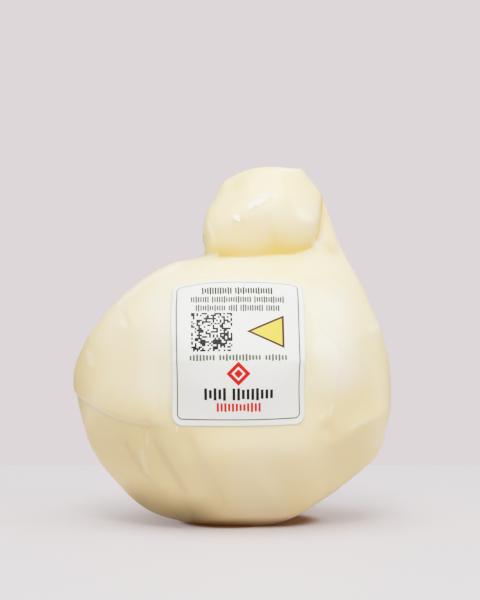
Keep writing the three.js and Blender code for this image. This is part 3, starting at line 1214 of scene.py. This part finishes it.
@dataclass
class Cheese:
    """The curd itself, just inside the film."""

    skin: Skin
    finish: CurdFinish
    stations: tuple[Station, ...] = (
        Station((-0.36, 0.5, 56), -90, 0),
        Station((-0.36, 0.5, 56), 26, 106),
        Station((9.44, 2, 110.5), 3, 50),
        Station((10.94, -2, 127), -12, 56),
        Station((10.94, -2, 127), 90, 52),
    )
    columns: int = 360
    front_crowding: float = 0.35  # how much closer the columns stand at the front
    under_film: float = 0.2
    crease_reach: float = 6.0
    # the amber values below set where the painted amber crease shade falls and how strong it is
    amber_pools: tuple[tuple[float, float], ...] = ((30, 11), (-3, 5))  # x and half width
    amber_least: float = 0.75  # share of the amber outside the pools
    amber_on_trunk: float = 0.3  # share of it under the neck
    amber_from: tuple[float, float] = (-1.0, 1.0)  # distances over the neck where it sets in
    # the next three values place the painted warm shade on the lower head
    warm_over_neck: tuple[float, float] = (0.0, 2.0)
    warm_from: float = 132.0  # height where the warm shade starts, going down
    warm_to: float = 115.0

    STRAIGHT_UP = 90.0  # rise of the rays at the poles, down and up

    def rays(self) -> tuple[np.ndarray, np.ndarray]:
        """The rays that find the skin, row by row from the seat to the top.

        Returns:
            The start and the direction of each ray; the first and last ray are the poles.
        """
        turns = np.linspace(-math.pi, math.pi, self.columns, endpoint=False)
        bearings = np.degrees(turns - self.front_crowding * np.sin(turns))
        eyes, ways = [np.array(self.stations[0].eye)], [heading(0, -self.STRAIGHT_UP)]
        for start, stop in zip(self.stations, self.stations[1:]):
            for row in range(1, stop.rows + 1):
                share = row / stop.rows
                eye = (1 - share) * np.array(start.eye) + share * np.array(stop.eye)
                rise = (1 - share) * start.rise + share * stop.rise
                if rise < self.STRAIGHT_UP:
                    eyes.extend([eye] * self.columns)
                    ways.extend(heading(bearing, rise) for bearing in bearings)
        eyes.append(np.array(self.stations[-1].eye))
        ways.append(heading(0, self.STRAIGHT_UP))
        return np.array(eyes), np.array(ways)

    def faces(self, rows: int) -> list[tuple[int, ...]]:
        """Faces of the swept net, closed with a fan at each pole.

        Args:
            rows: rings of points between the poles.

        Returns:
            Corner numbers of each face, turning outwards.
        """
        columns = self.columns
        made = []
        for column in range(columns):
            beside = (column + 1) % columns
            made.append((0, 1 + beside, 1 + column))
            last = 1 + (rows - 1) * columns
            made.append((last + column, last + beside, 1 + rows * columns))
            for row in range(rows - 1):
                base = 1 + row * columns
                made.append((base + column, base + beside, base + columns + beside, base + columns + column))
        return made

    def shades(self, points: np.ndarray) -> dict[str, np.ndarray]:
        """How much painted amber shade and painted warm shade the curd gets at points.

        Args:
            points: rows of x, y, z on the skin.

        Returns:
            Shares between 0 and 1, by the name of the mesh attribute that carries them.
        """
        # painted amber shade in the creases, strongest in the pools
        pools = sum(np.exp(-(((points[:, 0] - middle) / half) ** 2)) for middle, half in self.amber_pools)
        crease = self.skin.crease(points, self.crease_reach)
        crease *= self.amber_least + (1 - self.amber_least) * np.minimum(pools, 1)
        above_neck = self.skin.trunk(points) - self.skin.crown(points)
        on_crown = smooth_step(above_neck, *self.amber_from)
        crease *= self.amber_on_trunk + (1 - self.amber_on_trunk) * on_crown
        # painted warm shade on the lower head
        head_shade = smooth_step(above_neck, *self.warm_over_neck)
        head_shade *= smooth_step(-points[:, 2], -self.warm_from, -self.warm_to)
        return {"crease": crease, "head_shade": head_shade}

    def build(self) -> bpy.types.Object:
        """Makes the curd.

        Returns:
            The piece.
        """
        eyes, ways = self.rays()
        points = self.skin.cast(eyes, ways)
        lift = self.skin.relief(points) - self.under_film
        shades = self.shades(points)
        points = points + self.skin.normals(points) * lift[:, None]
        sunk = points[:, 2] < self.under_film
        share = (eyes[:, 2] - self.under_film) / np.maximum(eyes[:, 2] - points[:, 2], TINY)
        points[sunk] = (eyes + (points - eyes) * share[:, None])[sunk]
        mesh = bpy.data.meshes.new("curd")
        mesh.from_pydata((points * MM).tolist(), [], self.faces((len(points) - 2) // self.columns))
        for name, values in shades.items():
            mesh.attributes.new(name, "FLOAT", "POINT").data.foreach_set("value", values)
        return add_piece("curd", mesh, self.finish.material())


@dataclass
class Film:
    """The clear film: it hugs the curd and bridges its creases."""

    finish: FilmFinish
    gap: float = 0.00018
    bridge_steps: int = 40
    bridge_share: float = 0.8
    wrinkle: float = 0.00035
    wrinkle_scale: float = 190.0
    wrinkle_octaves: float = 2.0
    wrinkle_span: tuple[float, float] = (0.5, 0.75)
    gathered_span: tuple[float, float] = (0.02, 0.4)
    seed: float = 4.0

    def tree(self) -> bpy.types.NodeTree:
        """Builds the node tree that lays film over a skin.

        Returns:
            The tree, with its sizes as named inputs.
        """
        tree = bpy.data.node_groups.new("film_over_skin", "GeometryNodeTree")
        tree.interface.new_socket("Geometry", in_out="INPUT", socket_type="NodeSocketGeometry")
        for name in ("Gap", "Bridge Share", "Wrinkle", "Wrinkle Scale", "Seed"):
            tree.interface.new_socket(name, in_out="INPUT", socket_type="NodeSocketFloat")
        tree.interface.new_socket("Bridge Steps", in_out="INPUT", socket_type="NodeSocketInt")
        tree.interface.new_socket("Material", in_out="INPUT", socket_type="NodeSocketMaterial")
        tree.interface.new_socket("Geometry", in_out="OUTPUT", socket_type="NodeSocketGeometry")
        board = Board(tree)
        given = board.node("NodeGroupInput")
        sizes = {socket.name: Wire(board, socket) for socket in given.outputs if socket.name}
        place = board.wire("GeometryNodeInputPosition")
        normal = board.wire("GeometryNodeInputNormal")
        eased = board.wire("GeometryNodeBlurAttribute", {"data_type": "FLOAT_VECTOR"},
                           {"Value": place, "Iterations": sizes["Bridge Steps"]})
        drawn = board.wire("ShaderNodeVectorMath", {"operation": "SUBTRACT"}, {0: eased, 1: place})
        hollow = board.wire("ShaderNodeVectorMath", {"operation": "DOT_PRODUCT"},
                            {0: drawn, 1: normal}, "Value")
        waves = board.wire("ShaderNodeTexNoise", {"noise_dimensions": "4D"},
                           {"Vector": place, "W": sizes["Seed"], "Scale": sizes["Wrinkle Scale"],
                            "Detail": self.wrinkle_octaves}, "Fac")
        gathered = board.wire("GeometryNodeInputNamedAttribute", {"data_type": "FLOAT"}, {"Name": "crease"})
        lift = sizes["Gap"] + hollow.at_least(0.0) * sizes["Bridge Share"]
        puckers = waves.ramp(*self.wrinkle_span) * gathered.ramp(*self.gathered_span)
        lift = lift + puckers * sizes["Wrinkle"]
        offset = board.wire("ShaderNodeVectorMath", {"operation": "SCALE"}, {0: normal, "Scale": lift})
        shaped = board.wire("GeometryNodeSetPosition", None,
                            {"Geometry": sizes["Geometry"], "Offset": offset})
        whole = board.wire("GeometryNodeRealizeInstances", None, {"Geometry": shaped})
        dressed = board.wire("GeometryNodeSetMaterial", None,
                             {"Geometry": whole, "Material": sizes["Material"]})
        board.node("NodeGroupOutput", None, {"Geometry": dressed})
        return tree

    def build(self, curd: bpy.types.Object) -> bpy.types.Object:
        """Makes the film over the curd.

        Args:
            curd: the piece that it hugs.

        Returns:
            The piece.
        """
        material = self.finish.material()
        piece = add_piece("film", curd.data.copy(), material)
        tree = self.tree()
        values = {"Gap": self.gap, "Bridge Share": self.bridge_share, "Bridge Steps": self.bridge_steps,
                  "Wrinkle": self.wrinkle, "Wrinkle Scale": self.wrinkle_scale, "Seed": self.seed,
                  "Material": material}
        modifier = piece.modifiers.new("film_over_skin", "NODES")
        modifier.node_group = tree
        for item in tree.interface.items_tree:
            if item.in_out == "INPUT" and item.name in values:
                modifier[item.identifier] = values[item.name]
        graph = bpy.context.evaluated_depsgraph_get()
        mesh = bpy.data.meshes.new_from_object(piece.evaluated_get(graph))
        piece.modifiers.clear()
        piece.data = mesh
        return piece


@dataclass
class Label:
    """The paper label, bent over the film without stretching."""

    skin: Skin
    x: float = 2.4
    z: float = 75.5
    width: float = 53.5
    height: float = 63.4
    corner: float = 4.0
    paper: float = 0.14
    gap: float = 0.08
    half_columns: int = 40
    middle_rows: int = 52
    corner_rows: int = 9
    look_from: float = 6.0  # height over the skin that the film is looked for from
    bend_up: float = -5.4  # place of the crease across the label
    bend_half: float = 1.7
    bend_lift: float = 0.3
    bend_ends: tuple[float, float] = (5.0, 22.0)  # distances from the middle where it grows

    SETTLINGS = 2  # times that a step is brought back on to the skin

    def rows(self) -> list[tuple[float, float]]:
        """The label's rows from bottom to top.

        Returns:
            Height over the middle and half the width, for each row.
        """
        straight = self.height / 2 - self.corner
        middle = [(up, self.width / 2) for up in np.linspace(-straight, straight, self.middle_rows)]
        top = []
        for turn in np.linspace(0, math.pi / 2, self.corner_rows)[1:]:
            drawn_in = self.corner * (1 - math.cos(turn))
            top.append((straight + self.corner * math.sin(turn), self.width / 2 - drawn_in))
        return [(-up, half) for up, half in reversed(top)] + middle + top

    def step(self, spots: np.ndarray, ways: np.ndarray, lengths: np.ndarray) -> tuple[np.ndarray, np.ndarray]:
        """Walks over the skin.

        Args:
            spots: where the walks start.
            ways: their directions along the skin.
            lengths: how far each goes.

        Returns:
            The new spots and directions.
        """
        spots = spots + ways * lengths[:, None]
        for _ in range(self.SETTLINGS):
            spots = spots - self.skin.normals(spots) * self.skin.distance(spots)[:, None]
        normals = self.skin.normals(spots)
        ways = ways - normals * np.sum(ways * normals, axis=1)[:, None]
        return spots, ways / np.linalg.norm(ways, axis=1)[:, None]

    def middle_line(self, rows: list[tuple[float, float]]) -> tuple[np.ndarray, np.ndarray]:
        """Walks the label's middle line from its centre down and up.

        Args:
            rows: the label's rows.

        Returns:
            A spot and an upward direction for each row.
        """
        start = self.skin.cast(np.array([[self.x, 0.0, self.z]]), heading(0, 0)[None])
        facing = self.skin.normals(start)
        upward = np.array([[0.0, 0.0, 1.0]]) - facing * facing[:, 2:]
        upward = upward / np.linalg.norm(upward)
        found = {}
        for sign in (-1, 1):
            spot, way, done = start, upward, 0.0
            for up, _ in sorted((row for row in rows if row[0] * sign > 0), key=lambda row: row[0] * sign):
                spot, way = self.step(spot, way, np.array([up - done]))
                found[up] = (spot[0], way[0])
                done = up
        return (np.array([found[up][0] for up, _ in rows]), np.array([found[up][1] for up, _ in rows]))

    def net(self, rows: list[tuple[float, float]]) -> np.ndarray:
        """Points of the label on the bare skin.

        Args:
            rows: the label's rows.

        Returns:
            Points by row, column and axis.
        """
        spots, upward = self.middle_line(rows)
        sideways = np.cross(upward, self.skin.normals(spots))
        strides = np.array([half for _, half in rows]) / self.half_columns
        right, left = [spots], []
        for sign, kept in ((1, right), (-1, left)):
            here, way = spots, sideways * sign
            for _ in range(self.half_columns):
                here, way = self.step(here, way, strides)
                kept.append(here)
        return np.stack(left[::-1] + right, axis=1)

    def onto_film(self, points: np.ndarray, normals: np.ndarray, film: bpy.types.Object) -> np.ndarray:
        """Drops points on to the film along their normals.

        Args:
            points: rows of x, y, z on the bare skin.
            normals: outward directions there.
            film: the piece that carries the label.

        Returns:
            Points on the film.
        """
        mesh = film.data
        corners = [vertex.co for vertex in mesh.vertices]
        tree = BVHTree.FromPolygons(corners, [face.vertices for face in mesh.polygons])
        landed = []
        for point, normal in zip(points, normals):
            hit = tree.ray_cast(Vector((point + normal * self.look_from) * MM), Vector(-normal))[0]
            landed.append(np.array(hit) / MM)
        return np.array(landed)

    def bend(self, rows: list[tuple[float, float]]) -> np.ndarray:
        """How far the paper stands off the film where it is creased across, most at the label's sides.

        Args:
            rows: the label's rows.

        Returns:
            One height for each point of the net.
        """
        places = np.arange(-self.half_columns, self.half_columns + 1) / self.half_columns
        heights = [math.exp(-(((up - self.bend_up) / self.bend_half) ** 2))
                   * smooth_step(np.abs(places * half), *self.bend_ends) for up, half in rows]
        return self.bend_lift * np.concatenate(heights)

    def faces(self, high: int, wide: int) -> list[tuple[int, ...]]:
        """Faces of the sheet: its front, its back and the rim between them.

        Args:
            high: rows of points.
            wide: points in a row.

        Returns:
            Corner numbers of each face, turning outwards. The back's points follow the front's.
        """
        count = high * wide
        made = []
        for row in range(high - 1):
            for column in range(wide - 1):
                first = row * wide + column
                corners = (first, first + 1, first + wide + 1, first + wide)
                made.append(corners)
                made.append(tuple(corner + count for corner in reversed(corners)))
        rim = list(range(wide))
        rim += [row * wide + wide - 1 for row in range(1, high)]
        rim += [(high - 1) * wide + column for column in reversed(range(wide - 1))]
        rim += [row * wide for row in reversed(range(1, high - 1))]
        for here, beyond in zip(rim, rim[1:] + rim[:1]):
            made.append((here, here + count, beyond + count, beyond))
        return made

    def lay_print(self, mesh: bpy.types.Mesh, rows: list[tuple[float, float]]) -> None:
        """Gives the sheet the UV map that its print lies on.

        Args:
            mesh: the sheet.
            rows: the label's rows.
        """
        places = range(-self.half_columns, self.half_columns + 1)
        shares = np.array([[half * place / self.half_columns / self.width + 0.5, up / self.height + 0.5]
                           for up, half in rows for place in places])
        layer = mesh.uv_layers.new(name="sheet")
        for loop in mesh.loops:
            layer.data[loop.index].uv = shares[loop.vertex_index % len(shares)]

    def build(self, film: bpy.types.Object, finish: PaperFinish) -> bpy.types.Object:
        """Makes the label.

        Args:
            film: the piece that carries it.
            finish: its paper and print.

        Returns:
            The piece.
        """
        rows = self.rows()
        net = self.net(rows)
        flat = net.reshape(-1, 3)
        normals = self.skin.normals(flat)
        lift = self.gap + self.bend(rows)
        under = self.onto_film(flat, normals, film) + normals * lift[:, None]
        points = np.vstack([under + normals * self.paper, under])
        high, wide = net.shape[:2]
        mesh = bpy.data.meshes.new("label")
        mesh.from_pydata((points * MM).tolist(), [], self.faces(high, wide))
        self.lay_print(mesh, rows)
        return add_piece("paper_label", mesh, finish.material())


# The label's print, in millimetres from its middle
PRINT = (
    Rule(Ink.RULE, half=(24.4, 29.3), corner=2.0, line=0.46),
    Dashes(Ink.BLACK, up=24.6, groups=(12, 15), height=3.7, pitch=1.02, seed=3.0),
    Dashes(Ink.GREY, up=20.6, groups=(8, 17, 13), height=3.1, pitch=0.94, seed=23.0),
    Dashes(Ink.GREY, up=16.9, groups=(13, 4, 10, 6), height=3.1, pitch=0.94, seed=57.0),
    Speckle(Ink.BLACK, middle=(-10.4, 6.6), half=8.2, cells=23, seed=400.0),
    Wedge(Ink.YELLOW, tip=(3.4, 6.8), length=15.0, half=7.0),
    Wedge(Ink.BROWN, tip=(3.4, 6.8), length=15.0, half=7.0, line=0.8),
    Dashes(Ink.RULE, up=-4.2, groups=(8, 13, 7), height=2.9, pitch=1.3, seed=91.0),
    Lozenge(Ink.RED, middle=(0.0, -10.6), half=4.8),
    Lozenge(Ink.PAPER, middle=(0.0, -10.6), half=2.8),
    Lozenge(Ink.RED, middle=(0.0, -10.6), half=1.8),
    Dashes(Ink.BLACK, up=-18.8, groups=(5, 9), height=5.6, pitch=1.86, seed=131.0),
    Dashes(Ink.RED, up=-24.2, groups=(12,), height=4.0, pitch=1.5, seed=163.0),
)


# Studio

@dataclass(frozen=True)
class Lamp:
    """A soft light: its name, where it stands, its width and height, and its watts."""

    name: str
    at: tuple[float, float, float]
    size: tuple[float, float]
    power: float


@dataclass
class Studio:
    """Pale floor, plain wall colour, soft lights and the camera."""

    camera_at: tuple[float, float, float] = (0.0031, -0.750, 0.0942)
    lens: float = 104.64
    nearest: float = 0.01
    floor_back: float = 0.246  # the floor's far edge
    floor_front: float = -1.6
    floor_half: float = 1.6
    wall: tuple[float, float, float, float] = srgb(221, 215, 217)
    ambient: tuple[float, float, float, float] = (0.86, 0.85, 0.84, 1.0)
    mirrored: tuple[float, float, float, float] = (0.22, 0.22, 0.22, 1.0)
    window: tuple[float, float, float, float] = (4.5, 4.5, 4.5, 1.0)
    window_bearing: float = 79.0
    window_rise: float = 7.0
    window_spread: tuple[float, float] = (0.91, 0.995)
    lamp_colour: tuple[float, float, float] = (1.0, 0.99, 0.975)
    knee: float = 0.4  # light up to here is shown as it is
    brightest: float = 3.0  # light at the end of the tone curve
    curve_shares: tuple[float, ...] = (0.07, 0.133, 0.18, 0.24, 0.31, 0.4, 0.5, 0.62, 0.8)
    lamps_aim: tuple[float, float, float] = (0.0, 0.0, 0.09)
    lamps: tuple[Lamp, ...] = (
        Lamp("key", (-0.07, -0.95, 1.17), (0.4, 0.4), 8.4),
        Lamp("top", (0.0, -0.35, 1.3), (1.0, 1.0), 8.5),
        Lamp("right", (1.1, -0.6, 0.6), (0.25, 0.8), 3.6),
    )

    COMBINED = 3  # the curve that acts on red, green and blue together

    def floor(self) -> bpy.types.Object:
        """Makes the floor.

        Returns:
            The floor.
        """
        half = self.floor_half
        mesh = bpy.data.meshes.new("floor")
        mesh.from_pydata([(-half, self.floor_front, 0), (half, self.floor_front, 0),
                          (half, self.floor_back, 0), (-half, self.floor_back, 0)], [], [(0, 1, 2, 3)])
        piece = add_piece("floor", mesh, FloorFinish().material())
        return piece

    def light(self, lamp: Lamp) -> None:
        """Adds a soft light that points at the cheese.

        Args:
            lamp: what the light is.
        """
        light = bpy.data.lights.new(lamp.name, "AREA")
        light.shape = "RECTANGLE"
        light.size, light.size_y = lamp.size
        light.energy = lamp.power
        light.color = self.lamp_colour
        placed = bpy.data.objects.new(lamp.name, light)
        placed.location = lamp.at
        aim = Vector(self.lamps_aim) - Vector(lamp.at)
        placed.rotation_euler = aim.to_track_quat("-Z", "Y").to_euler()
        bpy.context.collection.objects.link(placed)

    def world(self) -> None:
        """Gives the world the wall's colour for the camera and soft light for all else."""
        world = bpy.data.worlds.new("studio")
        world.use_nodes = True
        world.node_tree.nodes.clear()
        board = Board(world.node_tree)
        seen = board.wire("ShaderNodeLightPath", None, None, "Is Camera Ray")
        mirrored = board.wire("ShaderNodeLightPath", None, None, "Is Glossy Ray")
        ambient = board.wire("ShaderNodeBackground", None, {"Color": self.ambient})
        way = board.wire("ShaderNodeTexCoord", None, None, "Generated")
        towards = board.wire("ShaderNodeVectorMath", {"operation": "DOT_PRODUCT"},
                             {0: way, 1: heading(self.window_bearing, self.window_rise)}, "Value")
        glow = board.tint(towards.ramp(*self.window_spread), self.mirrored, self.window)
        gloom = board.wire("ShaderNodeBackground", None, {"Color": glow})
        ambient = board.wire("ShaderNodeMixShader", None, {0: mirrored, 1: ambient, 2: gloom})
        light = tuple(self.before_shoulder(level) for level in self.wall[:3])
        wall = board.wire("ShaderNodeBackground", None, {"Color": (*light, 1.0)})
        surface = board.wire("ShaderNodeMixShader", None, {0: seen, 1: ambient, 2: wall})
        board.node("ShaderNodeOutputWorld", None, {"Surface": surface})
        bpy.context.scene.world = world

    def shoulder(self, level: float) -> float:
        """What the picture shows for a level of light: the same up to the knee, then ever less.

        Args:
            level: light that reaches the camera.

        Returns:
            The level in the picture, below 1.
        """
        room = 1 - self.knee
        return level if level < self.knee else self.knee + room * (1 - math.exp((self.knee - level) / room))

    def before_shoulder(self, shown: float) -> float:
        """Light that the picture shows at a level.

        Args:
            shown: the level in the picture.

        Returns:
            The level of light that reaches the camera.
        """
        room = 1 - self.knee
        return shown if shown < self.knee else self.knee - room * math.log(1 - (shown - self.knee) / room)

    def tone(self) -> None:
        """Gives the picture a soft shoulder, so that bright cream does not burn out."""
        settings = bpy.context.scene.view_settings
        settings.view_transform = "Standard"
        settings.use_curve_mapping = True
        mapping = settings.curve_mapping
        mapping.white_level = (self.brightest,) * 3
        curve = mapping.curves[self.COMBINED]
        curve.points[0].location = (0.0, 0.0)
        curve.points[1].location = (1.0, self.shoulder(self.brightest))
        for share in self.curve_shares:
            curve.points.new(share, self.shoulder(share * self.brightest))
        mapping.update()

    def camera(self) -> None:
        """Adds the camera at the photograph's viewing angle."""
        data = bpy.data.cameras.new("camera")
        data.lens = self.lens
        data.clip_start = self.nearest
        camera = bpy.data.objects.new("camera", data)
        camera.location = self.camera_at
        camera.rotation_euler = (math.pi / 2, 0.0, 0.0)
        bpy.context.collection.objects.link(camera)
        bpy.context.scene.camera = camera

    def build(self) -> None:
        """Sets the studio up."""
        self.tone()
        self.camera()
        self.world()
        self.floor()
        for lamp in self.lamps:
            self.light(lamp)


def main() -> None:
    """Builds the studio and the pieces in order."""
    logging.basicConfig(level=logging.INFO, format="%(name)s %(message)s")
    Studio().build()
    curd = Cheese(SKIN, CurdFinish()).build()
    film = Film(FilmFinish()).build(curd)
    label = Label(SKIN)
    paper = label.build(film, PaperFinish(label.width, label.height, PRINT))
    stand_for(curd, "provola")
    stand_for(film, "provola")
    stand_for(paper, "label")


if __name__ == "__main__":
    main()
